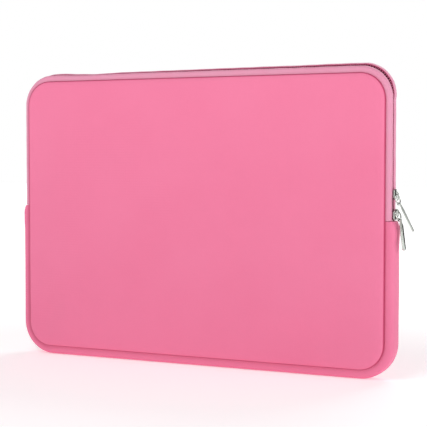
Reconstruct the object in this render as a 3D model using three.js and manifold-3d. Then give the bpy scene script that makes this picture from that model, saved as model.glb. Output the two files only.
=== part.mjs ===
// A padded laptop sleeve with a two-way zip, standing upright on its bottom gusset.
// Two neoprene panels are joined round their edge by a U-shaped gusset below and a zip above.
// Millimetres. +X runs to the sliders' side, +Z runs up, and the front panel faces -Y.
import * as THREE from 'three';
import { mergeVertices } from 'three/addons/utils/BufferGeometryUtils.js';
import Module from 'manifold-3d';

const wasm = await Module();
wasm.setup();

// Driving dimensions.
const GAP = 0.3; // between pieces that touch
const SEAM_HALF_WIDTH = 192; // the seam line round each panel is a rounded rectangle
const SEAM_HEIGHT = 273;
const SEAM_RADIUS = 25;
const CORNER_STEPS = 8;
const PANEL_INNER_Y = 9.6;
const PANEL_THICKNESS = 4.2;
const LINING_THICKNESS = 0.8;
const LINING_INSET = 1;
const BINDING_DEPTH = 6;
const BINDING_INNER_Y = 5.6;
const STRIP_HALF_DEPTH = PANEL_INNER_Y - GAP; // gusset and zip lie between the panels
const GUSSET_STAND = 8.5; // how far the gusset stands out from the seam line
const GUSSET_THICKNESS = 4;
const GUSSET_FLAT_HALF_DEPTH = 5.5;
const GUSSET_RIGHT_END = 146; // height of the gusset's two hemmed ends
const GUSSET_LEFT_END = 154;
const TAPE_STAND = 5.2;
const TAPE_THICKNESS = 0.8;
const TAPE_TOP_RISE = 0.5; // the zip arches this much further out along the top
const ZIP_HALF_GAP = 0.8;
const COIL_OUTER = TAPE_STAND - TAPE_THICKNESS - GAP;
const COIL_INNER = 1.8;
const COIL_FAR_Y = 3.3;
const FOLD_HEIGHT = 180; // the front panel folds forward along this line
const SLIDER_LENGTH = 10;
const SLIDER_HALF_WIDTH = 4.5;
const SLIDER_END_CHAMFER = 1.2;
const SLIDER_TOP = [TAPE_STAND + GAP, 6.4]; // top plate's two faces, out from the seam line
const SLIDER_BOTTOM = [0.4, COIL_INNER - GAP];
const SLIDER_FLANGE_TOP = 3.8;
const SLIDER_POST = [8, 9.9]; // the post's ends along the slider, near its wide end
const SLIDER_POST_HALF_WIDTH = 0.5;
const LOWER_SLIDER_END = GUSSET_RIGHT_END + 0.8;
const UPPER_SLIDER_END = LOWER_SLIDER_END + 28.4;
const CROWN_HALF_WIDTH = 0.9;
const CROWN_THICKNESS = 0.9;
const RING_RADIUS = 4.4;
const RING_WIRE_RADIUS = 0.6;
const RING_STAND = 7.25; // height of the ring's held wire out from the seam line
const UPPER_RING_HEIGHT = 170.4;
const LOWER_RING_HEIGHT = 155.7;
const EYE_RADIUS = 1.75;
const EYE_HOLE_RADIUS = 1.15;
const EYE_HALF_WIDTH = 1.1;
const PULL_THICKNESS = 1.4;
const PULL_HALF_WIDTH = 2.75;
const PULL_LENGTH = 28.5;

// How the rings and pulls hang at rest, in degrees: out from straight down, and turned about +Z.
const UPPER_HANG = { ringTilt: 14, ringTurn: -10, pullTilt: 26.5, pullTurn: 5 };
const LOWER_HANG = { ringTilt: 20, ringTurn: -12, pullTilt: 8, pullTurn: -12 };

const SEAM_BOTTOM = GUSSET_STAND;
const SEAM_TOP = SEAM_BOTTOM + SEAM_HEIGHT;

const COLOURS = {
  neoprene: '#f080a2',
  lining: '#e0719a',
  tape: '#e79bb6',
  coil: '#c9678c',
  binding: '#d9668f',
  metal: '#c8cdc8',
};

// Materials.

function cloth(colour, roughness) {
  return new THREE.MeshStandardMaterial({ color: colour, roughness, metalness: 0 });
}

function neoprene() {
  return cloth(COLOURS.neoprene, 0.85);
}

function plushLining() {
  return cloth(COLOURS.lining, 0.95);
}

function zipTape() {
  return cloth(COLOURS.tape, 0.7);
}

function coilNylon() {
  return cloth(COLOURS.coil, 0.5);
}

function bindingTape() {
  return cloth(COLOURS.binding, 0.8);
}

function nickelPlate() {
  return new THREE.MeshStandardMaterial({ color: COLOURS.metal, roughness: 0.2, metalness: 1 });
}

// Solids.

// Joins rings of equal length, in order, and closes the two ends, or the loop.
// The outline is a ring flattened, anticlockwise when seen from the last ring.
function loft(rings, outline, isLoop = false) {
  const size = outline.length;
  const index = [];
  const spans = isLoop ? rings.length : rings.length - 1;
  for (let ring = 0; ring < spans; ring += 1) {
    const here = ring * size;
    const next = ((ring + 1) % rings.length) * size;
    for (let i = 0; i < size; i += 1) {
      const j = (i + 1) % size;
      index.push(here + i, here + j, next + j);
      index.push(here + i, next + j, next + i);
    }
  }
  if (!isLoop) {
    const last = (rings.length - 1) * size;
    for (const [a, b, c] of THREE.ShapeUtils.triangulateShape(outline, [])) {
      index.push(c, b, a);
      index.push(last + a, last + b, last + c);
    }
  }
  const geometry = new THREE.BufferGeometry().setFromPoints(rings.flat());
  geometry.setIndex(index);
  return geometry;
}

function toSolid(geometry) {
  const bare = geometry.clone();
  bare.deleteAttribute('normal');
  bare.deleteAttribute('uv');
  const merged = mergeVertices(bare, 1e-4);
  const vertProperties = Float32Array.from(merged.attributes.position.array);
  const triVerts = Uint32Array.from(merged.index.array);
  return new wasm.Manifold(new wasm.Mesh({ numProp: 3, vertProperties, triVerts }));
}

function toGeometry(solid) {
  const mesh = solid.getMesh();
  const geometry = new THREE.BufferGeometry();
  geometry.setAttribute('position', new THREE.BufferAttribute(mesh.vertProperties, 3));
  geometry.setIndex(new THREE.BufferAttribute(mesh.triVerts, 1));
  return geometry;
}

function join(...geometries) {
  return toGeometry(geometries.map(toSolid).reduce((whole, piece) => whole.add(piece)));
}

function box(low, high) {
  const size = high.map((value, axis) => value - low[axis]);
  const middle = high.map((value, axis) => (value + low[axis]) / 2);
  return new THREE.BoxGeometry(...size).translate(...middle);
}

function prism(points, thickness, xAxis, yAxis, zAxis) {
  const shape = new THREE.Shape(points.map(([x, y]) => new THREE.Vector2(x, y)));
  const geometry = new THREE.ExtrudeGeometry(shape, { depth: thickness, bevelEnabled: false });
  const basis = new THREE.Matrix4().makeBasis(xAxis, yAxis, zAxis);
  return geometry.applyMatrix4(basis);
}

const ALONG_X = new THREE.Vector3(1, 0, 0);
const ALONG_Y = new THREE.Vector3(0, 1, 0);
const ALONG_Z = new THREE.Vector3(0, 0, 1);

// A plate drawn in Y and Z, with its thickness along +X.
function plate(points, thickness) {
  return prism(points, thickness, ALONG_Y, ALONG_Z, ALONG_X);
}

// A strip drawn in Z and X, centred on Y.
function sideCut(points, width) {
  return prism(points, width, ALONG_Z, ALONG_X, ALONG_Y).translate(0, -width / 2, 0);
}

// The seam line. A station is a point on it and the angle of its outward normal in the XZ plane.

function corner(side, isTop, startDegrees) {
  const centreX = side * (SEAM_HALF_WIDTH - SEAM_RADIUS);
  const centreZ = isTop ? SEAM_TOP - SEAM_RADIUS : SEAM_BOTTOM + SEAM_RADIUS;
  const stations = [];
  for (let step = 0; step <= CORNER_STEPS; step += 1) {
    const angle = THREE.MathUtils.degToRad(startDegrees + (90 * step) / CORNER_STEPS);
    const x = centreX + SEAM_RADIUS * Math.cos(angle);
    const z = centreZ + SEAM_RADIUS * Math.sin(angle);
    stations.push({ x, z, angle });
  }
  return stations;
}

const TOP_CORNERS = [...corner(1, true, 0), ...corner(-1, true, 90)];
const BOTTOM_CORNERS = [...corner(-1, false, 180), ...corner(1, false, 270)];

function onRight(z) {
  return { x: SEAM_HALF_WIDTH, z, angle: 0 };
}

function onLeft(z) {
  return { x: -SEAM_HALF_WIDTH, z, angle: Math.PI };
}

function overTop(rightEnd, leftEnd) {
  return [onRight(rightEnd), ...TOP_CORNERS, onLeft(leftEnd)];
}

function underBottom(leftEnd, rightEnd) {
  return [onLeft(leftEnd), ...BOTTOM_CORNERS, onRight(rightEnd)];
}

// A strip of one section, run along the seam line. A section is a list of [outward, y] points,
// anticlockwise, and topRise stretches it outward along the top.
function strip(section, stations, topRise = 0, isLoop = false) {
  const rings = stations.map(({ x, z, angle }) => {
    const stretch = 1 + topRise * Math.max(0, Math.sin(angle));
    return section.map(([out, y]) => {
      const reach = out * stretch;
      return new THREE.Vector3(x + reach * Math.cos(angle), y, z + reach * Math.sin(angle));
    });
  });
  const outline = section.map(([out, y]) => new THREE.Vector2(out, y));
  return loft(rings, outline, isLoop);
}

// A flat sheet inside the seam line. Layers are [y, inset] pairs, from the highest y to the lowest.
function sheet(layers) {
  const stations = [...TOP_CORNERS, ...BOTTOM_CORNERS];
  const rings = layers.map(([y, inset]) => stations.map(({ x, z, angle }) => {
    return new THREE.Vector3(x - inset * Math.cos(angle), y, z - inset * Math.sin(angle));
  }));
  return loft(rings, stations.map(({ x, z }) => new THREE.Vector2(x, z)));
}

function mirrorLayers(layers) {
  return layers.map(([y, inset]) => [-y, inset]).reverse();
}

function mirrorSection(section) {
  return section.map(([out, y]) => [out, -y]).reverse();
}

function below(geometry, z) {
  const half = box([-SEAM_HALF_WIDTH - 1, -50, -1], [SEAM_HALF_WIDTH + 1, 50, z]);
  return toGeometry(toSolid(geometry).intersect(toSolid(half)));
}

function above(geometry, z) {
  const half = box([-SEAM_HALF_WIDTH - 1, -50, z], [SEAM_HALF_WIDTH + 1, 50, SEAM_TOP + 1]);
  return toGeometry(toSolid(geometry).intersect(toSolid(half)));
}

// Sewn pieces.

// A padded panel, flat inside and rolled over at its outer edge.
const FRONT_PANEL_LAYERS = [
  [-PANEL_INNER_Y, 0],
  [-PANEL_INNER_Y - 0.45 * PANEL_THICKNESS, 0],
  [-PANEL_INNER_Y - 0.75 * PANEL_THICKNESS, 0.8],
  [-PANEL_INNER_Y - 0.93 * PANEL_THICKNESS, 2.2],
  [-PANEL_INNER_Y - PANEL_THICKNESS, 4.5],
];

const FRONT_LINING_LAYERS = [
  [-PANEL_INNER_Y + GAP + LINING_THICKNESS, LINING_INSET],
  [-PANEL_INNER_Y + GAP, LINING_INSET],
];

// The tape that binds the raw seam inside, on the front panel's side.
const BINDING_OUTER_Y = PANEL_INNER_Y - 2 * GAP - LINING_THICKNESS;
const FRONT_BINDING_SECTION = [
  [-BINDING_DEPTH, -BINDING_OUTER_Y],
  [0, -BINDING_OUTER_Y],
  [0, -BINDING_INNER_Y - 0.8],
  [-1, -BINDING_INNER_Y],
  [-BINDING_DEPTH + 1, -BINDING_INNER_Y],
  [-BINDING_DEPTH, -BINDING_INNER_Y - 0.8],
];

// The gusset bulges out in a soft square from one seam to the other.
function gussetSection() {
  const edge = STRIP_HALF_DEPTH;
  const flat = GUSSET_FLAT_HALF_DEPTH;
  const inside = GUSSET_STAND - GUSSET_THICKNESS;
  const halfOuter = [[GAP, edge], [4, edge], [6.6, edge - 0.5], [8, edge - 1.8], [GUSSET_STAND, flat]];
  const halfInner = [[GAP, edge - 0.9], [2.6, edge - 0.9], [inside - 0.4, flat + 1.2], [inside, flat - 1]];
  const outer = halfOuter.map(([out, y]) => [out, -y]);
  outer.push(...[...halfOuter].reverse());
  const inner = [...halfInner];
  inner.push(...halfInner.map(([out, y]) => [out, -y]).reverse());
  return [...outer, ...inner];
}

// The front half of the zip tape: flat beside the zip, then curving back to the seam.
const FRONT_TAPE_SECTION = [
  [GAP, -STRIP_HALF_DEPTH],
  [2.8, -STRIP_HALF_DEPTH + 0.4],
  [4.7, -STRIP_HALF_DEPTH + 1.5],
  [TAPE_STAND - 0.3, -STRIP_HALF_DEPTH + 3],
  [TAPE_STAND, -5.2],
  [TAPE_STAND, -ZIP_HALF_GAP],
  [TAPE_STAND - TAPE_THICKNESS, -ZIP_HALF_GAP],
  [TAPE_STAND - TAPE_THICKNESS, -5],
  [TAPE_STAND - 1.1, -STRIP_HALF_DEPTH + 3.4],
  [4, -STRIP_HALF_DEPTH + 2.1],
  [2.4, -STRIP_HALF_DEPTH + 1.2],
  [GAP, -STRIP_HALF_DEPTH + 0.8],
];

const FRONT_COIL_SECTION = [
  [COIL_INNER, -COIL_FAR_Y + 0.6],
  [COIL_INNER + 0.6, -COIL_FAR_Y],
  [COIL_OUTER - 0.6, -COIL_FAR_Y],
  [COIL_OUTER, -COIL_FAR_Y + 0.6],
  [COIL_OUTER, -ZIP_HALF_GAP],
  [COIL_INNER, -ZIP_HALF_GAP],
];

// Metal pieces, each drawn with X out from the seam line and Z along the zip.

function sliderBody() {
  const half = SLIDER_HALF_WIDTH;
  const chamfer = SLIDER_END_CHAMFER;
  const wideEnd = SLIDER_LENGTH;
  const outline = [
    [-half + chamfer, 0],
    [half - chamfer, 0],
    [half, chamfer],
    [half, wideEnd - 2.4],
    [half - 1.3, wideEnd - 0.6],
    [1.2, wideEnd],
    [-1.2, wideEnd],
    [-half + 1.3, wideEnd - 0.6],
    [-half, wideEnd - 2.4],
    [-half, chamfer],
  ];
  const pieces = [SLIDER_TOP, SLIDER_BOTTOM].map(([low, high]) => {
    return plate(outline, high - low).translate(low, 0, 0);
  });
  pieces.push(box(
    [SLIDER_BOTTOM[0] + 0.3, -SLIDER_POST_HALF_WIDTH, SLIDER_POST[0]],
    [SLIDER_TOP[1] - 0.3, SLIDER_POST_HALF_WIDTH, SLIDER_POST[1]],
  ));
  const flangeInside = COIL_FAR_Y + GAP;
  for (const side of [-1, 1]) {
    const edges = [side * flangeInside, side * half].sort((a, b) => a - b);
    pieces.push(box(
      [SLIDER_BOTTOM[0] + 0.3, edges[0], chamfer],
      [SLIDER_FLANGE_TOP, edges[1], wideEnd - 2.4],
    ));
  }
  return join(...pieces);
}

// The arched crown over the slider's top plate, which the ring passes under.
function crown() {
  const foot = SLIDER_TOP[1] + GAP;
  const underside = RING_STAND + RING_WIRE_RADIUS + GAP;
  const top = underside + CROWN_THICKNESS;
  const start = 1.6;
  const end = SLIDER_LENGTH + 0.6;
  const profile = [
    [start, foot],
    [start + CROWN_THICKNESS, foot],
    [start + CROWN_THICKNESS + 0.5, underside - 0.5],
    [start + CROWN_THICKNESS + 1.6, underside],
    [end - CROWN_THICKNESS - 0.9, underside],
    [end - CROWN_THICKNESS, underside - 0.5],
    [end - CROWN_THICKNESS, foot],
    [end, foot],
    [end, underside - 0.2],
    [end - 0.9, top - 0.2],
    [end - 1.8, top],
    [start + 2.6, top],
    [start + 0.8, top - 0.8],
  ];
  return sideCut(profile, 2 * CROWN_HALF_WIDTH);
}

// A round wire ring that hangs from the origin.
function ring() {
  const geometry = new THREE.TorusGeometry(RING_RADIUS, RING_WIRE_RADIUS, 10, 32);
  return geometry.rotateY(Math.PI / 2).translate(0, 0, -RING_RADIUS);
}

// A flat tab that hangs from a rolled eye round the origin.
function pull() {
  const neck = EYE_HALF_WIDTH;
  const half = PULL_HALF_WIDTH;
  const outline = [[neck, 0], [-neck, 0], [-neck, -2.4], [-half, -6]];
  const endSteps = 8;
  for (let step = 0; step <= endSteps; step += 1) {
    const angle = Math.PI + (Math.PI * step) / endSteps;
    outline.push([half * Math.cos(angle), -PULL_LENGTH + half + half * Math.sin(angle)]);
  }
  outline.push([half, -6], [neck, -2.4]);
  const tab = plate(outline, PULL_THICKNESS).translate(EYE_RADIUS - PULL_THICKNESS, 0, 0);
  const eye = new THREE.CylinderGeometry(EYE_RADIUS, EYE_RADIUS, 2 * neck, 20);
  const hole = new THREE.CylinderGeometry(EYE_HOLE_RADIUS, EYE_HOLE_RADIUS, 4 * neck, 20);
  return toGeometry(toSolid(tab).add(toSolid(eye)).subtract(toSolid(hole)));
}

// Assembly.

const sleeve = new THREE.Group();

function add(parent, name, geometry, material) {
  const mesh = new THREE.Mesh(geometry, material);
  mesh.name = name;
  parent.add(mesh);
  return mesh;
}

function addPanels() {
  const low = FOLD_HEIGHT - GAP / 2;
  const high = FOLD_HEIGHT + GAP / 2;
  const frontPanel = sheet(FRONT_PANEL_LAYERS);
  const frontLining = sheet(FRONT_LINING_LAYERS);
  add(sleeve, 'front_panel_lower', below(frontPanel, low), neoprene());
  add(sleeve, 'front_panel_upper', above(frontPanel, high), neoprene());
  add(sleeve, 'front_lining_lower', below(frontLining, low), plushLining());
  add(sleeve, 'front_lining_upper', above(frontLining, high), plushLining());
  add(sleeve, 'back_panel', sheet(mirrorLayers(FRONT_PANEL_LAYERS)), neoprene());
  add(sleeve, 'back_lining', sheet(mirrorLayers(FRONT_LINING_LAYERS)), plushLining());
}

function addGusset() {
  const route = underBottom(GUSSET_LEFT_END, GUSSET_RIGHT_END);
  add(sleeve, 'bottom_gusset', strip(gussetSection(), route), neoprene());
}

function addBindings() {
  const low = FOLD_HEIGHT - GAP / 2;
  const high = FOLD_HEIGHT + GAP / 2;
  const lowerRoute = underBottom(low, low);
  const upperRoute = overTop(high, high);
  const wholeRoute = [...TOP_CORNERS, ...BOTTOM_CORNERS];
  const backSection = mirrorSection(FRONT_BINDING_SECTION);
  add(sleeve, 'front_binding_lower', strip(FRONT_BINDING_SECTION, lowerRoute), bindingTape());
  add(sleeve, 'front_binding_upper', strip(FRONT_BINDING_SECTION, upperRoute), bindingTape());
  add(sleeve, 'back_binding', strip(backSection, wholeRoute, 0, true), bindingTape());
}

// Each zip half is a tape with its row of coil teeth on the inner face. The front half folds with
// the front panel, so it is cut into two stubs below the fold and one long piece above it.
function addZipHalf(part, section, material) {
  const low = FOLD_HEIGHT - GAP / 2;
  const high = FOLD_HEIGHT + GAP / 2;
  const rightStart = GUSSET_RIGHT_END + GAP;
  const leftStart = GUSSET_LEFT_END + GAP;
  const rise = TAPE_TOP_RISE;
  const right = [onRight(rightStart), onRight(low)];
  const left = [onLeft(low), onLeft(leftStart)];
  const back = mirrorSection(section);
  add(sleeve, `${part}_back`, strip(back, overTop(rightStart, leftStart), rise), material());
  add(sleeve, `${part}_front_upper`, strip(section, overTop(high, high), rise), material());
  add(sleeve, `${part}_front_lower_right`, strip(section, right), material());
  add(sleeve, `${part}_front_lower_left`, strip(section, left), material());
}

// One slider with its crown. The two sliders' wide ends face each other.
function addSlider(level, endHeight, isFlipped) {
  const group = new THREE.Group();
  group.position.set(SEAM_HALF_WIDTH, 0, endHeight);
  group.rotation.x = isFlipped ? Math.PI : 0;
  add(group, `slider_${level}`, sliderBody(), nickelPlate());
  add(group, `crown_${level}`, crown(), nickelPlate());
  sleeve.add(group);
}

// Turns a hanging piece out from straight down, and then about +Z.
function hangAt(mesh, tilt, turn) {
  mesh.rotation.set(0, -THREE.MathUtils.degToRad(tilt), THREE.MathUtils.degToRad(turn), 'ZYX');
}

// A ring under the crown, and the pull that hangs from the ring's lowest point.
function addRingAndPull(level, height, hang) {
  const wire = add(sleeve, `ring_${level}`, ring(), nickelPlate());
  wire.position.set(SEAM_HALF_WIDTH + RING_STAND, 0, height);
  hangAt(wire, hang.ringTilt, hang.ringTurn);
  const lowest = new THREE.Vector3(0, 0, -2 * RING_RADIUS).applyEuler(wire.rotation);
  const tab = add(sleeve, `pull_${level}`, pull(), nickelPlate());
  tab.position.copy(wire.position).add(lowest);
  hangAt(tab, hang.pullTilt, hang.pullTurn);
}

addPanels();
addGusset();
addBindings();
addZipHalf('zip_tape', FRONT_TAPE_SECTION, zipTape);
addZipHalf('zip_coil', FRONT_COIL_SECTION, coilNylon);
addSlider('lower', LOWER_SLIDER_END, false);
addSlider('upper', UPPER_SLIDER_END, true);
addRingAndPull('lower', LOWER_RING_HEIGHT, LOWER_HANG);
addRingAndPull('upper', UPPER_RING_HEIGHT, UPPER_HANG);

export default sleeve;
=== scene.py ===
"""A padded pink laptop sleeve with a two-way zip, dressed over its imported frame. Metres, +Z up."""
import math

import bmesh
import bpy
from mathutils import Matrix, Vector, noise


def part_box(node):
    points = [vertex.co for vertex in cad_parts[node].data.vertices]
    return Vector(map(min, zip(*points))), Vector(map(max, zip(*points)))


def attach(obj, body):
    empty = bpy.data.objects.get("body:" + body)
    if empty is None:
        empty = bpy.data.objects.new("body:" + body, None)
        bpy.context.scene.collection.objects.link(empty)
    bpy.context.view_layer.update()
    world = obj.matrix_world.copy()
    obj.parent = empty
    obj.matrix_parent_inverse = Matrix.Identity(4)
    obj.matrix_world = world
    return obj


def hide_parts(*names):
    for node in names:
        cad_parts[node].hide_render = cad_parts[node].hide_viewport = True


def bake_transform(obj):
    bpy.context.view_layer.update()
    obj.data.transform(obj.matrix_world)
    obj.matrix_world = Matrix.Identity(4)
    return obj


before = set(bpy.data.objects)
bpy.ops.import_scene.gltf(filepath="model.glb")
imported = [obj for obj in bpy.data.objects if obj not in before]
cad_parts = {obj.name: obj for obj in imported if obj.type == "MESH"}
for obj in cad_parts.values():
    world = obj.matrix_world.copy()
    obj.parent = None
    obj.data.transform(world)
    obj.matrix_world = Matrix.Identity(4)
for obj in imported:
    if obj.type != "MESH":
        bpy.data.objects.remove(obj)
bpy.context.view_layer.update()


# Camera, floor and lights: a level view from a little right of the front, with the sleeve standing
# on a pale floor. None of this is part of the sleeve.

CAMERA_DISTANCE = 1.189
CAMERA_HEIGHT = 0.207
CAMERA_AZIMUTH = math.radians(26.1)
LENS_MM = 102.5
HEADING_TURN = math.radians(0.65)
PITCH = math.radians(2.8)
FLOOR_SIZE = 12
GLOW_NEAR = 0.3
GLOW_FAR = 1.3
CARD_SIZE = 0.5
CARD_PLACE = (0.62, 0.95, 0.25)


def linear(hex_colour):
    """An sRGB hex colour as linear red, green, blue and alpha."""
    channels = [int(hex_colour[i:i + 2], 16) / 255 for i in (1, 3, 5)]
    return [c / 12.92 if c <= 0.04045 else ((c + 0.055) / 1.055) ** 2.4 for c in channels] + [1.0]


def add_node(tree, kind, inputs=None, **settings):
    """Adds a node, sets its properties, and sets or links its inputs."""
    node = tree.nodes.new(kind)
    for name, value in settings.items():
        setattr(node, name, value)
    for name, value in (inputs or {}).items():
        if isinstance(value, bpy.types.NodeSocket):
            tree.links.new(value, node.inputs[name])
        else:
            node.inputs[name].default_value = value
    return node


def new_material(name):
    """An empty node material, with its tree, its shader and its object coordinates."""
    material = bpy.data.materials.new(name)
    material.use_nodes = True
    tree = material.node_tree
    shader = tree.nodes["Principled BSDF"]
    coordinates = add_node(tree, "ShaderNodeTexCoord")
    return material, tree, shader, coordinates.outputs["Object"]


camera_data = bpy.data.cameras.new("camera")
camera_data.lens = LENS_MM
camera_data.sensor_width = 36
camera_data.clip_start = 0.05
camera_data.clip_end = 20
camera = bpy.data.objects.new("camera", camera_data)
bpy.context.scene.collection.objects.link(camera)
camera.location = (
    CAMERA_DISTANCE * math.sin(CAMERA_AZIMUTH),
    -CAMERA_DISTANCE * math.cos(CAMERA_AZIMUTH),
    CAMERA_HEIGHT,
)
camera.rotation_euler = (math.pi / 2 - PITCH, 0, CAMERA_AZIMUTH - HEADING_TURN)
bpy.context.scene.camera = camera

bpy.ops.object.select_all(action="DESELECT")
bpy.ops.mesh.primitive_plane_add(size=FLOOR_SIZE, location=(0, 0, 0))
floor = bpy.context.object
floor.name = "studio_floor"
# Matt white paper, laid out as a sweep.
paper, paper_tree, paper_shader, paper_place = new_material("studio_paper_matt")
paper_shader.inputs["Base Color"].default_value = linear("#FBFBFB")
paper_shader.inputs["Roughness"].default_value = 0.9
paper_shader.inputs["Emission Color"].default_value = linear("#FFFFFF")
# Painted light: the paper glows, more on the far part of the sweep than under the sleeve.
paper_away = add_node(paper_tree, "ShaderNodeVectorMath", {0: paper_place}, operation="LENGTH")
paper_painted_glow = add_node(paper_tree, "ShaderNodeMapRange", {"Value": paper_away.outputs["Value"],
                      "From Min": GLOW_NEAR, "From Max": GLOW_FAR, "To Min": 0.3, "To Max": 0.8})
paper_tree.links.new(paper_painted_glow.outputs["Result"], paper_shader.inputs["Emission Strength"])
floor.data.materials.append(paper)

world = bpy.data.worlds.new("studio")
bpy.context.scene.world = world
world.use_nodes = True
world_tree = world.node_tree
# White all round, and darker overhead, so that the polished metal has something dark to mirror.
sky = add_node(world_tree, "ShaderNodeTexCoord")
height = add_node(world_tree, "ShaderNodeSeparateXYZ", {"Vector": sky.outputs["Object"]})
overhead = add_node(world_tree, "ShaderNodeMapRange", {"Value": height.outputs["Z"], "From Min": 0.16,
                    "From Max": 0.7, "To Min": 1.0, "To Max": 0.2})
world_tree.links.new(overhead.outputs["Result"], world_tree.nodes["Background"].inputs["Strength"])
world_tree.nodes["Background"].inputs["Color"].default_value = linear("#FFFFFF")
bpy.context.scene.view_settings.view_transform = "Standard"


def soft_light(name, place, target, size, watts):
    """A square area light turned towards a target."""
    data = bpy.data.lights.new(name, "AREA")
    data.size = size
    data.energy = watts
    light = bpy.data.objects.new(name, data)
    bpy.context.scene.collection.objects.link(light)
    light.location = place
    direction = Vector(target) - Vector(place)
    light.rotation_euler = direction.to_track_quat("-Z", "Y").to_euler()


soft_light("key_light", place=(-0.05, -0.7, 1.05), target=(-0.05, 0, 0.25), size=0.6, watts=3.9)
soft_light("fill_light", place=(1.6, -0.25, 0.5), target=(0.15, 0, 0.12), size=0.7, watts=4.5)
soft_light("rim_light", place=(0.2, 1.2, 1.3), target=(0, 0, 0.25), size=0.9, watts=8)

# A black card stands behind the sleeve's right side, out of view, for the polished metal to mirror.
bpy.ops.object.select_all(action="DESELECT")
bpy.ops.mesh.primitive_plane_add(size=CARD_SIZE, location=CARD_PLACE, rotation=(math.pi / 2, 0, 0))
card = bpy.context.object
card.name = "black_card"
# Matt black card stock, unprinted.
black, _, black_shader, _ = new_material("black_card_matt")
black_shader.inputs["Base Color"].default_value = linear("#101010")
black_shader.inputs["Roughness"].default_value = 1.0
card.data.materials.append(black)


# The two panels: each is a sheet of foamed neoprene about 4 mm thick, faced with fine nylon jersey.
# It is cut as a rounded rectangle and sewn face down round its edge, so the edge rolls over into
# the seam. The foam swells a little between the seams, which the cloth pass gives it.

MM = 0.001
SEAM_HALF_WIDTH = 192 * MM
SEAM_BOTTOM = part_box("back_panel")[0][2]
SEAM_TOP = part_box("back_panel")[1][2]
SEAM_RADIUS = 25 * MM
SEAM_MIDDLE = (SEAM_BOTTOM + SEAM_TOP) / 2
SEAM_HALF_HEIGHT = (SEAM_TOP - SEAM_BOTTOM) / 2
PANEL_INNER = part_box("back_panel")[0][1]
PANEL_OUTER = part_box("back_panel")[1][1]
FOAM_THICKNESS = 3.2 * MM
# The skin turns up from this height at the stitches, over this width, on a steep curve.
ROLL_START = 0.25 * MM
ROLL_WIDTH = 8 * MM
ROLL_STEEPNESS = 2.6
LEAST_HEIGHT = 0.2 * MM
# Rows of the mesh by the sewn edge, in mm from it, and the even cells inside them.
EDGE_ROWS = (0, 0.35, 0.8, 1.4, 2.2, 3.2, 4.5, 6.2, 8.4, 11.2, 14.8)
PANEL_CELL = 4.2 * MM
PINNED_WIDTH = 5 * MM
PUFF_STEPS = 20
PUFF_LIMIT = 1.9 * MM
# Slow waves in the skin, as bumps to the metre, the step to another part of the noise, and height.
SKIN_WAVES = ((9, 0, 0.7 * MM), (26, 7, 0.25 * MM))
PUCKER_HEIGHT = 0.12 * MM
PUCKER_PITCH = 7 * MM
PUCKER_REACH = 4 * MM
# The front's left edge is eased back, as if the sleeve was a little slack there.
SLACK_DEPTH = 1.8 * MM
SLACK_REACH = 45 * MM
# Soft hollows, each with its depth, its centre in x and z, and its reach in x and z.
FRONT_DENTS = (
    (2.0 * MM, -0.165, 0.05, 0.024, 0.036),
    (1.2 * MM, 0.12, 0.035, 0.06, 0.025),
)
BACK_DENTS = ((0.8 * MM, 0.15, 0.05, 0.04, 0.03),)
# Painted shade where the cloth turns into the seam: its width, how much wider it runs down the left side,
# and how steeply it fades.
SEAM_SHADE_WIDTH = 0.75 * MM
SEAM_SHADE_WIDENING = 0.7
SEAM_SHADE_STEEPNESS = 1.8
# How far apart the jersey's ribs and courses are drawn.
RIB_PITCH = 2.2 * MM
COURSE_PITCH = 2.6 * MM
# The bands of a wave texture are this far apart when its scale is 1.
WAVE_BAND = 0.314


def edge_distance(x, z):
    """How far a point is inside the seam line, and the outward direction there."""
    over_x = abs(x) - (SEAM_HALF_WIDTH - SEAM_RADIUS)
    over_z = abs(z - SEAM_MIDDLE) - (SEAM_HALF_HEIGHT - SEAM_RADIUS)
    side_x = math.copysign(1, x)
    side_z = math.copysign(1, z - SEAM_MIDDLE)
    if over_x > 0 and over_z > 0:
        reach = math.hypot(over_x, over_z)
        return SEAM_RADIUS - reach, (side_x * over_x / reach, side_z * over_z / reach)
    if over_x > over_z:
        return SEAM_RADIUS - over_x, (side_x, 0)
    return SEAM_RADIUS - over_z, (0, side_z)


def edge_spacing(half_length):
    """Distances from one edge to the other: fine rows in the rolled edge, and even cells between."""
    rows = [row * MM for row in EDGE_ROWS]
    inner = half_length - rows[-1]
    cells = math.ceil(inner / PANEL_CELL)
    rows += [rows[-1] + inner * (i + 1) / cells for i in range(cells)]
    left = [row - half_length for row in rows]
    return left + [-value for value in reversed(left[:-1])]


def round_the_corner(x, z):
    """Moves a point of the plain rectangle into the rounded one."""
    over_x = abs(x) - (SEAM_HALF_WIDTH - SEAM_RADIUS)
    over_z = abs(z) - (SEAM_HALF_HEIGHT - SEAM_RADIUS)
    if over_x <= 0 or over_z <= 0:
        return x, z
    shrink = max(over_x, over_z) / math.hypot(over_x, over_z)
    new_x = SEAM_HALF_WIDTH - SEAM_RADIUS + over_x * shrink
    new_z = SEAM_HALF_HEIGHT - SEAM_RADIUS + over_z * shrink
    return math.copysign(new_x, x), math.copysign(new_z, z)


def rounded_grid(name):
    """A flat grid over the seam's rounded rectangle, with fine rows by its edge."""
    columns = edge_spacing(SEAM_HALF_WIDTH)
    rows = edge_spacing(SEAM_HALF_HEIGHT)
    bpy.ops.object.select_all(action="DESELECT")
    bpy.ops.mesh.primitive_grid_add(
        x_subdivisions=len(columns) - 1, y_subdivisions=len(rows) - 1, size=2
    )
    grid = bpy.context.object
    grid.name = name
    for vertex in grid.data.vertices:
        column = columns[round((vertex.co.x + 1) / 2 * (len(columns) - 1))]
        row = rows[round((vertex.co.y + 1) / 2 * (len(rows) - 1))]
        x, z = round_the_corner(column, row)
        vertex.co = (x, 0, z + SEAM_MIDDLE)
    return grid


def apply_modifier(piece, modifier):
    """Selects a piece alone and applies one of its modifiers."""
    bpy.ops.object.select_all(action="DESELECT")
    piece.select_set(True)
    bpy.context.view_layer.objects.active = piece
    bpy.ops.object.modifier_apply(modifier=modifier.name)


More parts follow.
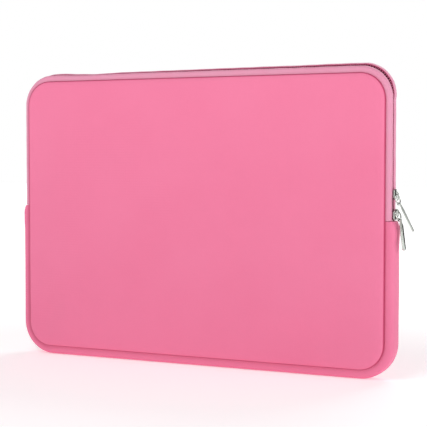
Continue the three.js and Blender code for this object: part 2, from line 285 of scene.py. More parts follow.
def puff(piece, side):
    """Swells the skin between its sewn edges by cloth pressure, then scales it to the limit."""
    flat = [vertex.co.copy() for vertex in piece.data.vertices]
    pinned = piece.vertex_groups.new(name="sewn_edge")
    edge = [v.index for v in piece.data.vertices if edge_distance(v.co.x, v.co.z)[0] < PINNED_WIDTH]
    pinned.add(edge, 1.0, "REPLACE")
    cloth = piece.modifiers.new("foam", "CLOTH")
    cloth.settings.mass = 0.3
    cloth.settings.tension_stiffness = 40
    cloth.settings.compression_stiffness = 40
    cloth.settings.bending_stiffness = 5
    cloth.settings.use_pressure = True
    cloth.settings.uniform_pressure_force = 4 * side
    cloth.settings.vertex_group_mass = "sewn_edge"
    cloth.settings.effector_weights.gravity = 0
    cloth.settings.quality = 5
    scene = bpy.context.scene
    for step in range(1, PUFF_STEPS + 1):
        scene.frame_set(step)
    apply_modifier(piece, cloth)
    scene.frame_set(1)
    swelling = [abs(v.co.y - rest.y) for v, rest in zip(piece.data.vertices, flat)]
    most = max(max(swelling), 1e-6)
    for vertex, rest, height in zip(piece.data.vertices, flat, swelling):
        vertex.co = rest
        vertex.co.y += side * PUFF_LIMIT * min(1, height / most)
    piece.vertex_groups.clear()


def hollow(x, z, centre_x, centre_z, radius_x, radius_z):
    """How deep a point lies in a soft hollow, from 1 at its centre to 0 beyond its reach."""
    distance = math.hypot((x - centre_x) / radius_x, (z - centre_z) / radius_z)
    return 0.5 + 0.5 * math.cos(math.pi * min(distance, 1))


def paint_seam_shade(piece, width):
    """Stores the painted shade at each point where the cloth turns into the seam, from 1 in the crease to 0
    beyond it.

    The painted shade is widest down the left side.
    """
    crease = piece.data.attributes.new("painted_seam_shade", "FLOAT", "POINT")
    for vertex, value in zip(piece.data.vertices, crease.data):
        inside, (out_x, _) = edge_distance(vertex.co.x, vertex.co.z)
        width_here = width * (1 + SEAM_SHADE_WIDENING * max(0, -out_x))
        value.value = min(1, max(0, SEAM_SHADE_STEEPNESS * (1 - abs(inside) / width_here)))


def seam_shade_tone(tree, colour, shade_colour):
    """Paints shade into a cloth's colour where it turns down into the seam, darker and deeper there."""
    crease = add_node(tree, "ShaderNodeAttribute", attribute_name="painted_seam_shade")
    tone = add_node(tree, "ShaderNodeMix", {"Factor": crease.outputs["Fac"], "A": colour,
                    "B": linear(shade_colour)}, data_type="RGBA")
    return tone.outputs["Result"]


def flip_faces():
    """Turns over the faces of the mesh that was just added."""
    bpy.ops.object.mode_set(mode="EDIT")
    bpy.ops.mesh.select_all(action="SELECT")
    bpy.ops.mesh.flip_normals()
    bpy.ops.object.mode_set(mode="OBJECT")


def make_panel(name, side, seed):
    """One panel. Side is -1 for the front, whose outer face looks to -Y, and 1 for the back."""
    panel = rounded_grid(name)
    if side > 0:
        flip_faces()
    puff(panel, side)
    depth = PANEL_OUTER - PANEL_INNER
    dents = FRONT_DENTS if side < 0 else BACK_DENTS
    for vertex in panel.data.vertices:
        x, swell, z = vertex.co
        inside = max(0, edge_distance(x, z)[0])
        share = min(1, inside / ROLL_WIDTH)
        roll = (1 - (1 - share) ** ROLL_STEEPNESS) ** 0.5
        wave = 0
        for bumps, step, wave_height in SKIN_WAVES:
            wave += noise.noise(Vector((x * bumps, seed + step, z * bumps))) * wave_height
        pucker = math.sin((x + z) * 2 * math.pi / PUCKER_PITCH) * math.exp(-inside / PUCKER_REACH)
        height = ROLL_START + (depth - ROLL_START) * roll
        height += share * (side * swell + wave) + PUCKER_HEIGHT * pucker
        if side < 0:
            slack = max(0, 1 - (x + SEAM_HALF_WIDTH) / SLACK_REACH)
            height -= SLACK_DEPTH * share * slack ** 1.5
        for dent_depth, *dent_place in dents:
            height -= dent_depth * hollow(x, z, *dent_place)
        vertex.co.y = side * (PANEL_INNER + max(LEAST_HEIGHT, height))
    thickness = panel.modifiers.new("foam_thickness", "SOLIDIFY")
    thickness.thickness = FOAM_THICKNESS
    thickness.offset = -1
    apply_modifier(panel, thickness)
    for vertex in panel.data.vertices:
        if side * vertex.co.y < PANEL_INNER:
            vertex.co.y = side * PANEL_INNER
    smooth = panel.modifiers.new("smooth", "SUBSURF")
    smooth.levels = 1
    smooth.render_levels = 1
    apply_modifier(panel, smooth)
    bpy.ops.object.shade_smooth()
    # Painted shade along the sewn edge.
    paint_seam_shade(panel, 2 * SEAM_SHADE_WIDTH)
    return panel


# Neoprene faced with warp-knit nylon jersey: matt, with a slight sheen at grazing angles, a nap of
# about 1 mm and faint patches about 70 mm across. The real knit's ribs are about 0.5 mm apart. They
# are drawn 2.2 and 2.6 mm apart, or they wouldn't show.
neoprene_jersey, knit_tree, knit_shader, knit_place = new_material("neoprene_faced_with_nylon_jersey")
ribs = add_node(knit_tree, "ShaderNodeTexWave", {"Vector": knit_place, "Scale": WAVE_BAND / RIB_PITCH,
                "Distortion": 0.6, "Detail": 1.0}, bands_direction="X")
courses = add_node(knit_tree, "ShaderNodeTexWave", {"Vector": knit_place,
                   "Scale": WAVE_BAND / COURSE_PITCH, "Distortion": 0.8, "Detail": 1.0},
                   bands_direction="Z")
knit = add_node(knit_tree, "ShaderNodeMath", {0: ribs.outputs["Fac"], 1: courses.outputs["Fac"]},
                operation="ADD")
mottle = add_node(knit_tree, "ShaderNodeTexNoise", {"Vector": knit_place, "Scale": 14.0, "Detail": 3.0})
fuzz = add_node(knit_tree, "ShaderNodeTexNoise", {"Vector": knit_place, "Scale": 900.0, "Detail": 2.0})
patches = add_node(knit_tree, "ShaderNodeMath", {0: mottle.outputs["Fac"], 1: 0.8},
                   operation="MULTIPLY")
grain = add_node(knit_tree, "ShaderNodeMath", {0: fuzz.outputs["Fac"], 1: 0.35, 2: patches.outputs[0]},
                 operation="MULTIPLY_ADD")
knit_tone = add_node(knit_tree, "ShaderNodeMix", {"Factor": grain.outputs[0],
                     "A": linear("#F07FA4"), "B": linear("#EA7399")}, data_type="RGBA")
# Painted shade: a darker, deeper pink where the jersey turns down into the seams.
knit_with_seam_shade = seam_shade_tone(knit_tree, knit_tone.outputs["Result"], "#B8285A")
knit_tree.links.new(knit_with_seam_shade, knit_shader.inputs["Base Color"])
relief = add_node(knit_tree, "ShaderNodeMath", {0: fuzz.outputs["Fac"], 1: 0.6, 2: knit.outputs[0]},
                  operation="MULTIPLY_ADD")
knit_bump = add_node(knit_tree, "ShaderNodeBump", {"Height": relief.outputs[0], "Strength": 0.22,
                     "Distance": 0.12 * MM})
knit_tree.links.new(knit_bump.outputs["Normal"], knit_shader.inputs["Normal"])
knit_shader.inputs["Roughness"].default_value = 0.62
knit_shader.inputs["Specular IOR Level"].default_value = 0.5
knit_shader.inputs["Sheen Weight"].default_value = 0.08
knit_shader.inputs["Sheen Roughness"].default_value = 0.4
knit_shader.inputs["Sheen Tint"].default_value = linear("#FFC4D6")


def finish_piece(piece, name, material):
    """Names a finished piece and its mesh, and gives it its material."""
    piece.name = name
    piece.data.name = name
    piece.data.materials.clear()
    piece.data.materials.append(material)
    return piece


front_panel = make_panel("front_panel", -1, 3.0)
finish_piece(front_panel, "front_panel", neoprene_jersey)
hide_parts("front_panel_lower", "front_panel_upper")
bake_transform(front_panel)

back_panel = make_panel("back_panel_padded", 1, 11.0)
finish_piece(back_panel, "back_panel_padded", neoprene_jersey)
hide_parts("back_panel")
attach(back_panel, "sleeve")


# The linings: short brushed-pile cloth bonded to the inside of each panel, so it lies flat on the
# foam and stops just inside the seam.

LINING_INSET = 1.0 * MM
LINING_EASE = 12 * MM
LINING_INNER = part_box("back_lining")[0][1]
LINING_CLEARANCE = 0.15 * MM
LINING_THICKNESS = 0.6 * MM
LINING_RIPPLE = 0.12 * MM


def make_lining(name, side):
    """One lining. Its pile faces the pocket, and its back lies on the panel's foam."""
    lining = rounded_grid(name)
    if side < 0:
        flip_faces()
    for vertex in lining.data.vertices:
        x, _, z = vertex.co
        inside, (out_x, out_z) = edge_distance(x, z)
        share = max(0, 1 - inside / LINING_EASE)
        vertex.co.x -= out_x * LINING_INSET * share
        vertex.co.z -= out_z * LINING_INSET * share
        ripple = noise.noise(Vector((x * 18, side * 5, z * 18))) * LINING_RIPPLE
        vertex.co.y = side * (LINING_INNER + LINING_CLEARANCE + ripple)
    thickness = lining.modifiers.new("pile", "SOLIDIFY")
    thickness.thickness = LINING_THICKNESS
    thickness.offset = -1
    apply_modifier(lining, thickness)
    bpy.ops.object.shade_smooth()
    return lining


# Brushed polyester pile: soft and dull with a strong sheen, and mottled in patches about 45 mm
# across where the pile lies over. The tufts are drawn 2 to 3 mm apart, or they wouldn't show.
plush, plush_tree, plush_shader, plush_place = new_material("brushed_polyester_pile")
pile = add_node(plush_tree, "ShaderNodeTexNoise", {"Vector": plush_place, "Scale": 420.0, "Detail": 4.0})
lay = add_node(plush_tree, "ShaderNodeTexNoise", {"Vector": plush_place, "Scale": 22.0, "Detail": 2.0})
pile_mix = add_node(plush_tree, "ShaderNodeMath", {0: pile.outputs["Fac"], 1: lay.outputs["Fac"]},
                    operation="MULTIPLY")
pile_tone = add_node(plush_tree, "ShaderNodeMix", {"Factor": pile_mix.outputs[0],
                     "A": linear("#DB6B92"), "B": linear("#F39BB8")}, data_type="RGBA")
plush_tree.links.new(pile_tone.outputs["Result"], plush_shader.inputs["Base Color"])
pile_bump = add_node(plush_tree, "ShaderNodeBump", {"Height": pile.outputs["Fac"], "Strength": 0.5,
                     "Distance": 0.3 * MM})
plush_tree.links.new(pile_bump.outputs["Normal"], plush_shader.inputs["Normal"])
plush_shader.inputs["Roughness"].default_value = 0.95
plush_shader.inputs["Specular IOR Level"].default_value = 0.15
plush_shader.inputs["Sheen Weight"].default_value = 0.6
plush_shader.inputs["Sheen Roughness"].default_value = 0.5
plush_shader.inputs["Sheen Tint"].default_value = linear("#FFD0DE")

front_lining = finish_piece(make_lining("front_lining", -1), "front_lining", plush)
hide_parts("front_lining_lower", "front_lining_upper")
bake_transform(front_lining)

back_lining = finish_piece(make_lining("back_lining_cloth", 1), "back_lining_cloth", plush)
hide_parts("back_lining")
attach(back_lining, "sleeve")


# The gusset: one long strip of the same neoprene, sewn between the two panels along the bottom and
# about half way up each side. It bulges in a soft square, and each end is folded under as a hem,
# which draws it in a little at the tip.

GUSSET_RIGHT_END = 0.146
GUSSET_LEFT_END = 0.154
GUSSET_STAND = 8.5 * MM
GUSSET_WAVE = 0.22 * MM
GUSSET_INNER_STAND = 5.1 * MM
GUSSET_THICKNESS = 0.9 * MM
HEM_LENGTH = 7 * MM
HEM_RISE = 0.25 * MM
TIP_LENGTH = 1.6 * MM
TIP_DROP = 0.7 * MM
DRAWN_LENGTH = 9 * MM
DRAWN_DROP = 1.9 * MM
# The gusset stands fullest at this distance from its tip, by this much more on each side.
SWELL_REACH = 12 * MM
SWELL_RIGHT = 0.5 * MM
SWELL_LEFT = 1.0 * MM
# The lowest part is kept to the plain height, so that the sleeve stands flat.
FOOT_HEIGHT = 20 * MM
# The mesh's rows near each tip, in mm from it: they carry the rolled edge and the hem's step.
TIP_ROWS = (0, 0.3, 0.8, 1.6, 3.0, 5.0, 6.6, 7.0, 7.4)
STRIP_STEP = 6 * MM
# The gusset and the tapes start a little under the panel's edge, this far from the middle in y.
STRIP_START = -0.7 * MM
STRIP_EDGE = 9.52 * MM
SIDE_REACH = SEAM_HALF_WIDTH - 1 * MM
SECTION_STEPS = 12


def corner_places(side, is_top, start_degrees, steps=14):
    """Places on the seam line round one corner, each with its outward angle."""
    centre_x = side * (SEAM_HALF_WIDTH - SEAM_RADIUS)
    height = SEAM_HALF_HEIGHT - SEAM_RADIUS
    centre_z = SEAM_MIDDLE + (height if is_top else -height)
    places = []
    for step in range(steps + 1):
        angle = math.radians(start_degrees + 90 * step / steps)
        x = centre_x + SEAM_RADIUS * math.cos(angle)
        z = centre_z + SEAM_RADIUS * math.sin(angle)
        places.append((x, z, angle))
    return places


def fill_straights(places):
    """Adds evenly spaced places on each straight, so that the strip can bend and ripple."""
    filled = [places[0]]
    for before, after in zip(places, places[1:]):
        length = math.hypot(after[0] - before[0], after[1] - before[1])
        cells = max(1, round(length / STRIP_STEP))
        for cell in range(1, cells + 1):
            share = cell / cells
            filled.append(tuple(a + (b - a) * share for a, b in zip(before, after)))
    return filled


def under_bottom(left_end, right_end):
    """The gusset's way: down the left side, under the bottom and up the right side."""
    places = [(-SEAM_HALF_WIDTH, left_end, math.pi)]
    places += corner_places(-1, False, 180) + corner_places(1, False, 270)
    places.append((SEAM_HALF_WIDTH, right_end, 2 * math.pi))
    return fill_straights(places)


def over_top(right_end, left_end):
    """The zip's way: up the right side, over the top and down the left side."""
    places = [(SEAM_HALF_WIDTH, right_end, 0.0)]
    places += corner_places(1, True, 0) + corner_places(-1, True, 90)
    places.append((-SEAM_HALF_WIDTH, left_end, math.pi))
    return fill_straights(places)


def whole_seam():
    """All the way round, from the right side and back to it."""
    places = corner_places(1, True, 0) + corner_places(-1, True, 90)
    places += corner_places(-1, False, 180) + corner_places(1, False, 270)
    return fill_straights(places + [places[0][:2] + (2 * math.pi,)])


def lay_strip(name, places, section_at, is_loop=False):
    """A closed strip along the seam. section_at(place number, x, z) gives its [outward, y] points."""
    sections = [section_at(number, x, z) for number, (x, z, _) in enumerate(places)]
    points = len(sections[0])
    bpy.ops.object.select_all(action="DESELECT")
    bpy.ops.mesh.primitive_grid_add(x_subdivisions=points, y_subdivisions=len(places) - 1, size=2)
    piece = bpy.context.object
    piece.name = name
    for vertex in piece.data.vertices:
        point = round((vertex.co.x + 1) / 2 * points) % points
        number = round((vertex.co.y + 1) / 2 * (len(places) - 1))
        x, z, angle = places[number]
        out, y = sections[number][point]
        vertex.co = (x + out * math.cos(angle), y, z + out * math.sin(angle))
    bpy.ops.object.mode_set(mode="EDIT")
    bpy.ops.mesh.select_all(action="SELECT")
    bpy.ops.mesh.remove_doubles(threshold=1e-6)
    if not is_loop:
        bpy.ops.mesh.select_all(action="DESELECT")
        bpy.ops.mesh.select_non_manifold()
        bpy.ops.mesh.fill_holes(sides=0)
    bpy.ops.mesh.select_all(action="SELECT")
    bpy.ops.mesh.normals_make_consistent(inside=False)
    bpy.ops.object.mode_set(mode="OBJECT")
    bpy.ops.object.shade_smooth_by_angle(angle=math.radians(50))
    # Painted shade along the strip's sewn edges.
    paint_seam_shade(piece, SEAM_SHADE_WIDTH)
    return piece


def soft_square(step):
    """A point on a half square with rounded corners: its outward and sideways shares."""
    angle = -math.pi / 2 + math.pi * step / SECTION_STEPS
    sideways = math.sin(angle)
    return abs(math.cos(angle)) ** 0.42, math.copysign(abs(sideways) ** 0.5, sideways)


def gusset_section(_, x, z):
    """The gusset's section at a place: fuller by the hems, drawn in at the tips and a bit uneven."""
    is_right = x > 0
    to_end = (GUSSET_RIGHT_END if is_right else GUSSET_LEFT_END) - z
    stand = GUSSET_STAND + noise.noise(Vector((x * 30, 2.0, z * 30))) * GUSSET_WAVE
    if abs(x) > SIDE_REACH:
        swell = SWELL_RIGHT if is_right else SWELL_LEFT
        stand += HEM_RISE if to_end < HEM_LENGTH else 0
        stand -= TIP_DROP * max(0, 1 - to_end / TIP_LENGTH) ** 2
        stand -= DRAWN_DROP * max(0, 1 - to_end / DRAWN_LENGTH) ** 1.5
        stand += swell * max(0, 1 - abs(to_end - SWELL_REACH) / SWELL_REACH)
    if z < FOOT_HEIGHT:
        stand = min(stand, GUSSET_STAND)
    outer = []
    inner = []
    for step in range(SECTION_STEPS + 1):
        out, sideways = soft_square(step)
        outer.append((STRIP_START + (stand - STRIP_START) * out, STRIP_EDGE * sideways))
        inner.append((STRIP_START + GUSSET_INNER_STAND * out, (STRIP_EDGE - GUSSET_THICKNESS) * sideways))
    return outer + inner[::-1]


def densify_ends(places, spans):
    """Replaces the places near both ends of a strip with closer ones."""
    (x0, z0, a0), (x1, z1, a1) = places[0], places[-1]
    start = [(x0, z0 - span, a0) for span in spans]
    end = [(x1, z1 - span, a1) for span in reversed(spans)]
    lowest_end = min(z0, z1) - spans[-1] - 1 * MM
    body = [place for place in places[1:-1] if place[1] < lowest_end or abs(place[0]) < SIDE_REACH]
    return start + body + end


gusset_places = densify_ends(
    under_bottom(GUSSET_LEFT_END, GUSSET_RIGHT_END),
    [row * MM for row in TIP_ROWS],
)
gusset = lay_strip("gusset", gusset_places, gusset_section)
finish_piece(gusset, "gusset", neoprene_jersey)
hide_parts("bottom_gusset")
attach(gusset, "sleeve")


# The zip's two tapes: woven polyester, sewn to each panel's edge and arched out between there and
# the coil. The zip is set in with its coils inside, so only the tapes and a groove show.

TAPE_CLEARANCE = 0.4 * MM
TAPE_RIGHT_START = GUSSET_RIGHT_END + TAPE_CLEARANCE
TAPE_LEFT_START = GUSSET_LEFT_END + TAPE_CLEARANCE
LOWER_SLIDER_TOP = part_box("slider_lower")[1][2]
UPPER_SLIDER_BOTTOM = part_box("slider_upper")[0][2]
OPENING_MIDDLE = (LOWER_SLIDER_TOP + UPPER_SLIDER_BOTTOM) / 2
OPENING_UNDER_SLIDER = 1.5 * MM
OPENING_HALF = (UPPER_SLIDER_BOTTOM - LOWER_SLIDER_TOP) / 2 + OPENING_UNDER_SLIDER
ZIP_GAP = 0.8 * MM
OPENING_GAP = 1.2 * MM
# Each crest in mm: its height down the left side, what that gains by the right side, the rise along
# the top at the left end, what that gains by the right end, and its share of the ripple.
FRONT_CREST = (5.4, -0.9, 0.2, 1.4, 0.5)
BACK_CREST = (4.3, 0.0, 3.0, 2.3, 1.0)
# The zip's bulge and dip by the top left corner, each with its height in mm, its place and its reach.
TOP_RIPPLE = ((0.9, -0.163, 0.016), (-0.7, -0.118, 0.02))
TAPE_WAVE = 0.2 * MM
TAPE_RIPPLE = 0.08 * MM
# Each tape's lip beside the groove, as a share of its crest's height.
FRONT_LIP = 0.8
BACK_LIP = 0.9
# The tape's underside follows its crest, this much lower and nearer to the groove.
UNDER_DROP = 0.55 * MM
UNDER_SHIFT = 0.25 * MM
# Painted shade by the groove: how far it reaches past the gap, and how dark it is.
GROOVE_SHADE_WIDTH = 0.3 * MM
GROOVE_SHADE = 0.85


def tape_stand(x, z, side):
    """How far a tape's crest stands out: more along the top than at the sides, and most behind."""
    _, (_, out_z) = edge_distance(x, z)
    top = max(0, out_z)
    across = 0.5 + 0.5 * x / SEAM_HALF_WIDTH
    ripple = sum(height * math.exp(-((x - place) / reach) ** 2) for height, place, reach in TOP_RIPPLE)
    left, to_right, rise, rise_to_right, ripple_share = FRONT_CREST if side < 0 else BACK_CREST
    return (left + to_right * across + top * (rise + rise_to_right * across + ripple_share * ripple)) * MM


def zip_gap(x, z):
    """Half the gap between the tapes: closed, but for the short opening between the two sliders."""
    if x < 0:
        return ZIP_GAP
    reach = min(1, abs(z - OPENING_MIDDLE) / OPENING_HALF)
    return ZIP_GAP + OPENING_GAP * (1 - reach ** 2)


def tape_section(side):
    """The section of one tape: up from the seam over the crest, down to the groove, and back under."""
    def section(number, x, z):
        wave = TAPE_RIPPLE * math.sin(number * 1.7)
        wave += noise.noise(Vector((x * 25, side * 4.0, z * 25))) * TAPE_WAVE
        stand = tape_stand(x, z, side) + wave
        gap = zip_gap(x, z)
        lip = FRONT_LIP if side < 0 else BACK_LIP
        crest = [
            (STRIP_START, STRIP_EDGE),
            (1.0 * MM, 9.4 * MM),
            (0.5 * stand, 9.1 * MM),
            (0.8 * stand, 8.4 * MM),
            (0.95 * stand, 6.9 * MM),
            (stand, 5.0 * MM),
            ((0.6 + 0.4 * lip) * stand, 3.4 * MM),
            ((0.3 + 0.7 * lip) * stand, 2.2 * MM),
            (lip * stand, gap + 0.5 * MM),
            ((lip - 0.02) * stand, gap + 0.1 * MM),
            ((lip - 0.12) * stand, gap),
        ]
        under = [(out - UNDER_DROP, y - UNDER_SHIFT) for out, y in reversed(crest[3:-1])]
        under = [((lip - 0.14) * stand, gap + 0.2 * MM)] + under[2:]
        under += [(0.5 * stand - 0.2 * MM, 8.1 * MM), (STRIP_START, 8.7 * MM)]
        return [(out, side * y) for out, y in crest + under]
    return section


# Woven polyester zip tape: paler than the jersey, with a pale sheen where it turns away. Its weave
# is a fine twill, drawn here as diagonal ribs 2.6 mm apart, or it wouldn't show.
tape_cloth, tape_tree, tape_shader, tape_place = new_material("woven_polyester_zip_tape")
tape_ribs = add_node(tape_tree, "ShaderNodeTexWave", {"Vector": tape_place, "Scale": 140.0,
                     "Distortion": 0.3}, bands_direction="DIAGONAL")
tape_noise = add_node(tape_tree, "ShaderNodeTexNoise", {"Vector": tape_place, "Scale": 60.0, "Detail": 3.0})
tape_tone = add_node(tape_tree, "ShaderNodeMix", {"Factor": tape_noise.outputs["Fac"],
                     "A": linear("#E890AE"), "B": linear("#E09CB6")}, data_type="RGBA")
# Painted shade: a darker, deeper pink where the tape turns down into the seam and beside the groove.
tape_with_seam_shade = seam_shade_tone(tape_tree, tape_tone.outputs["Result"], "#B83A66")
tape_tree.links.new(tape_with_seam_shade, tape_shader.inputs["Base Color"])
tape_bump = add_node(tape_tree, "ShaderNodeBump", {"Height": tape_ribs.outputs["Fac"], "Strength": 0.3,
                     "Distance": 0.15 * MM})
tape_tree.links.new(tape_bump.outputs["Normal"], tape_shader.inputs["Normal"])
tape_shader.inputs["Roughness"].default_value = 0.6
tape_shader.inputs["Specular IOR Level"].default_value = 0.4
tape_shader.inputs["Sheen Weight"].default_value = 0.3
tape_shader.inputs["Sheen Roughness"].default_value = 0.35
tape_shader.inputs["Sheen Tint"].default_value = linear("#E8D4DC")

tape_places = over_top(TAPE_RIGHT_START, TAPE_LEFT_START)


def cut_width(places, section_at):
    """The width a thin strip was cut to: half its section's outline, averaged over its length."""
    total = 0
    for number, (x, z, _) in enumerate(places):
        outline = section_at(number, x, z)
        total += sum(math.dist(a, b) for a, b in zip(outline, outline[1:] + outline[:1])) / 2
    return total / len(places)


def paint_groove_shade(piece):
    """Paints shade on the tape's inner edge, where it turns down beside the coil into the groove."""
    crease = piece.data.attributes["painted_seam_shade"].data
    for vertex, value in zip(piece.data.vertices, crease):
        if abs(vertex.co.y) < zip_gap(vertex.co.x, vertex.co.z) + GROOVE_SHADE_WIDTH:
            value.value = GROOVE_SHADE


front_tape = lay_strip("front_zip_tape", tape_places, tape_section(-1))
paint_groove_shade(front_tape)
finish_piece(front_tape, "front_zip_tape", tape_cloth)
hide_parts("zip_tape_front_upper", "zip_tape_front_lower_right", "zip_tape_front_lower_left")
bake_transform(front_tape)
cut_width(tape_places, tape_section(-1))

back_tape = lay_strip("back_zip_tape", tape_places, tape_section(1))
paint_groove_shade(back_tape)
finish_piece(back_tape, "back_zip_tape", tape_cloth)
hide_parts("zip_tape_back")
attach(back_tape, "sleeve")
cut_width(tape_places, tape_section(1))


# The zip's coils: one nylon filament wound in small loops along each tape's inner edge. The loops of
# the two coils pass between each other where the zip is closed, and part between the two sliders.

TOOTH_PITCH = 2.0 * MM
FILAMENT_RADIUS = 0.46 * MM
LOOP_LOW = 2.2 * MM
LOOP_FAR = 2.5 * MM
# Where the zip is closed, each loop reaches this far past the middle, between the other coil's.
LOOP_OVERLAP = 0.6 * MM


def tooth_points(stand, gap):
    """One loop of filament, as a closed oval standing across the tape."""
    low = LOOP_LOW
    high = 0.8 * stand
    near = 2.1 * (gap - ZIP_GAP) - LOOP_OVERLAP
    far = LOOP_FAR + 0.1 * (near + LOOP_OVERLAP)
    return [(low, near + 0.5 * MM), (low, far), (0.5 * (low + high), far + 0.3 * MM),
            (high - 0.5 * MM, far), (high, near + 0.5 * MM), (0.5 * (low + high), near)]


def coil_mesh(name, side):
    """All the loops of one coil. The front's loops start half a pitch before the back's."""
    coil = bmesh.new()
    walked = 0.0
    next_tooth = (0.5 if side < 0 else 1.0) * TOOTH_PITCH
    wire = FILAMENT_RADIUS
    for (x0, z0, a0), (x1, z1, a1) in zip(tape_places, tape_places[1:]):
        length = math.hypot(x1 - x0, z1 - z0)
        while next_tooth < walked + length:
            share = (next_tooth - walked) / length
            x = x0 + (x1 - x0) * share
            z = z0 + (z1 - z0) * share
            angle = a0 + (a1 - a0) * share
            next_tooth += TOOTH_PITCH
            out = Vector((math.cos(angle), 0, math.sin(angle)))
            along = Vector((-math.sin(angle), 0, math.cos(angle)))
            loop = tooth_points(tape_stand(x, z, side), zip_gap(x, z))
            centre = sum((Vector((o, y)) for o, y in loop), Vector((0, 0))) / len(loop)
            rings = []
            for o, y in loop:
                direction = (Vector((o, y)) - centre).normalized()
                corners = []
                for across, up in ((wire, 0), (0, wire), (-wire, 0), (0, -wire)):
                    wire_out = o + direction.x * across
                    wire_y = y + direction.y * across
                    point = Vector((x, side * wire_y, z)) + out * wire_out + along * up
                    corners.append(coil.verts.new(point))
                rings.append(corners)
            for i, ring in enumerate(rings):
                following = rings[(i + 1) % len(rings)]
                for j in range(4):
                    k = (j + 1) % 4
                    coil.faces.new((ring[j], ring[k], following[k], following[j]))
        walked += length
    bmesh.ops.recalc_face_normals(coil, faces=coil.faces)
    mesh = bpy.data.meshes.new(name)
    coil.to_mesh(mesh)
    coil.free()
    piece = bpy.data.objects.new(name, mesh)
    bpy.context.scene.collection.objects.link(piece)
    bpy.ops.object.select_all(action="DESELECT")
    piece.select_set(True)
    bpy.context.view_layer.objects.active = piece
    bpy.ops.object.shade_smooth()
    return piece


# Dyed nylon monofilament, drawn through a die: smooth and slightly glossy, a darker pink than the
# tape, and a little uneven in its dye every 5 mm or so.
nylon, nylon_tree, nylon_shader, nylon_place = new_material("nylon_monofilament_dyed")
nylon_noise = add_node(nylon_tree, "ShaderNodeTexNoise", {"Vector": nylon_place, "Scale": 200.0})
nylon_tone = add_node(nylon_tree, "ShaderNodeMix", {"Factor": nylon_noise.outputs["Fac"],
                      "A": linear("#A84468"), "B": linear("#BC5A7E")}, data_type="RGBA")
nylon_tree.links.new(nylon_tone.outputs["Result"], nylon_shader.inputs["Base Color"])
nylon_shader.inputs["Roughness"].default_value = 0.35
nylon_shader.inputs["IOR"].default_value = 1.53

front_coil = finish_piece(coil_mesh("front_zip_coil", -1), "front_zip_coil", nylon)
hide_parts("zip_coil_front_upper", "zip_coil_front_lower_right", "zip_coil_front_lower_left")
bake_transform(front_coil)

back_coil = finish_piece(coil_mesh("back_zip_coil", 1), "back_zip_coil", nylon)
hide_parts("zip_coil_back")
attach(back_coil, "sleeve")


# The bindings: ribbed nylon tape, folded over the raw edges of each panel's seam inside the sleeve
# and stitched down, all the way round.

BINDING_OUT = -3.0 * MM
BINDING_HALF_WIDTH = 2.9 * MM
BINDING_Y = 6.9 * MM
BINDING_HALF_THICKNESS = 1.2 * MM
BINDING_RIPPLE = 0.25 * MM
BINDING_STEPS = 14


def flattened(value):
    """A cosine or sine pushed outwards, so that the oval it draws is nearer to a rectangle."""
    return math.copysign(abs(value) ** 0.6, value)


def binding_section(side):
    """The section of one binding: a flat oval beside the lining's edge."""
    def section(_, x, z):
        ripple = noise.noise(Vector((x * 40, side * 9.0, z * 40))) * BINDING_RIPPLE
        points = []
        for step in range(BINDING_STEPS):
            angle = 2 * math.pi * step / BINDING_STEPS
            out = BINDING_OUT + BINDING_HALF_WIDTH * flattened(math.cos(angle))
            y = BINDING_Y + (BINDING_HALF_THICKNESS + ripple) * flattened(math.sin(angle))
            points.append((out, side * y))
        return points
    return section


# Ribbed nylon binding tape, woven: nearly matt, with diagonal ribs 3.3 mm apart, drawn coarser than
# the real ones so that they show.
ribbed, ribbed_tree, ribbed_shader, ribbed_place = new_material("ribbed_nylon_binding")
binding_ribs = add_node(ribbed_tree, "ShaderNodeTexWave", {"Vector": ribbed_place, "Scale": 110.0,
                        "Distortion": 0.2}, bands_direction="DIAGONAL")
binding_tone = add_node(ribbed_tree, "ShaderNodeMix", {"Factor": binding_ribs.outputs["Fac"],
                        "A": linear("#C6527C"), "B": linear("#DD6F96")}, data_type="RGBA")
ribbed_tree.links.new(binding_tone.outputs["Result"], ribbed_shader.inputs["Base Color"])
binding_bump = add_node(ribbed_tree, "ShaderNodeBump", {"Height": binding_ribs.outputs["Fac"],
                        "Strength": 0.4, "Distance": 0.2 * MM})
ribbed_tree.links.new(binding_bump.outputs["Normal"], ribbed_shader.inputs["Normal"])
ribbed_shader.inputs["Roughness"].default_value = 0.7

front_binding = lay_strip("front_seam_binding", whole_seam(), binding_section(-1), is_loop=True)
finish_piece(front_binding, "front_seam_binding", ribbed)
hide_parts("front_binding_lower", "front_binding_upper")
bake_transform(front_binding)

back_binding = lay_strip("back_seam_binding", whole_seam(), binding_section(1), is_loop=True)
finish_piece(back_binding, "back_seam_binding", ribbed)
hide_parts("back_binding")
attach(back_binding, "sleeve")


# The zip's metal: two cast zinc sliders with stamped crowns, two wire rings and two cast pulls,
# all plated with bright nickel.

METAL_NODES = {
    "slider_lower": "lower_slider", "slider_upper": "upper_slider",
    "crown_lower": "lower_slider", "crown_upper": "upper_slider",
    "ring_lower": "lower_ring", "ring_upper": "upper_ring",
    "pull_lower": "lower_pull", "pull_upper": "upper_pull",
}
CAST_BEVEL = 0.15 * MM
PULL_BEVEL = 0.28 * MM
WIRE_BEVEL = 0.01 * MM

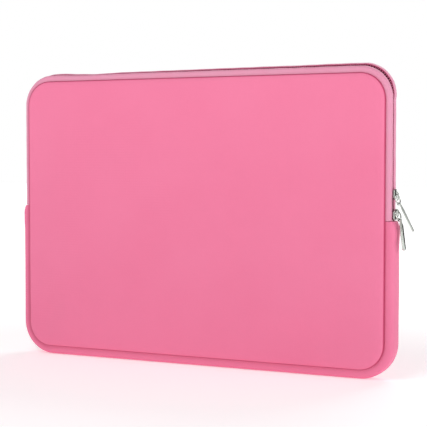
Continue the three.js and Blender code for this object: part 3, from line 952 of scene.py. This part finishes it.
# Bright nickel plate over polished zinc: nearly a mirror, grey, and hazier in patches of about 3 mm
# where it was handled.
nickel, nickel_tree, nickel_shader, nickel_place = new_material("nickel_plate_on_zinc_casting")
wear = add_node(nickel_tree, "ShaderNodeTexNoise", {"Vector": nickel_place, "Scale": 350.0, "Detail": 4.0})
nickel_rough = add_node(nickel_tree, "ShaderNodeMapRange", {"Value": wear.outputs["Fac"],
                        "To Min": 0.08, "To Max": 0.2})
nickel_tree.links.new(nickel_rough.outputs["Result"], nickel_shader.inputs["Roughness"])
# Painted shade: recesses narrower than about 1.6 mm are darkened by occlusion, nearly to black.
nickel_recess_shade = add_node(nickel_tree, "ShaderNodeAmbientOcclusion", {"Distance": 1.6 * MM})
nickel_shade_depth = add_node(nickel_tree, "ShaderNodeMath", {0: nickel_recess_shade.outputs["AO"], 1: 1.6},
                        operation="POWER")
nickel_tone_with_shade = add_node(nickel_tree, "ShaderNodeMix", {"Factor": nickel_shade_depth.outputs[0],
                       "A": linear("#1E201E"), "B": linear("#C6CAC4")}, data_type="RGBA")
nickel_tree.links.new(nickel_tone_with_shade.outputs["Result"], nickel_shader.inputs["Base Color"])
nickel_shader.inputs["Metallic"].default_value = 1.0


def polished_copy(node, bevel_width):
    """A copy of a cast piece with its edges rounded, as tumbling and plating leave them."""
    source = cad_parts[node]
    copy = bpy.data.objects.new(node + "_plated", source.data.copy())
    bpy.context.scene.collection.objects.link(copy)
    bpy.ops.object.select_all(action="DESELECT")
    copy.select_set(True)
    bpy.context.view_layer.objects.active = copy
    bpy.ops.object.mode_set(mode="EDIT")
    bpy.ops.mesh.select_all(action="SELECT")
    bpy.ops.mesh.remove_doubles(threshold=1e-6)
    bpy.ops.mesh.dissolve_limited(angle_limit=math.radians(2))
    bpy.ops.object.mode_set(mode="OBJECT")
    bevel = copy.modifiers.new("edges", "BEVEL")
    bevel.width = bevel_width
    bevel.segments = 3
    bevel.limit_method = "ANGLE"
    bevel.angle_limit = math.radians(35)
    apply_modifier(copy, bevel)
    bpy.ops.object.shade_smooth_by_angle(angle=math.radians(40))
    return copy


for node, body in METAL_NODES.items():
    width = CAST_BEVEL
    if node.startswith("pull"):
        width = PULL_BEVEL
    elif node.startswith("ring"):
        width = WIRE_BEVEL
    piece = polished_copy(node, width)
    finish_piece(piece, node + "_plated", nickel)
    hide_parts(node)
    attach(piece, body)
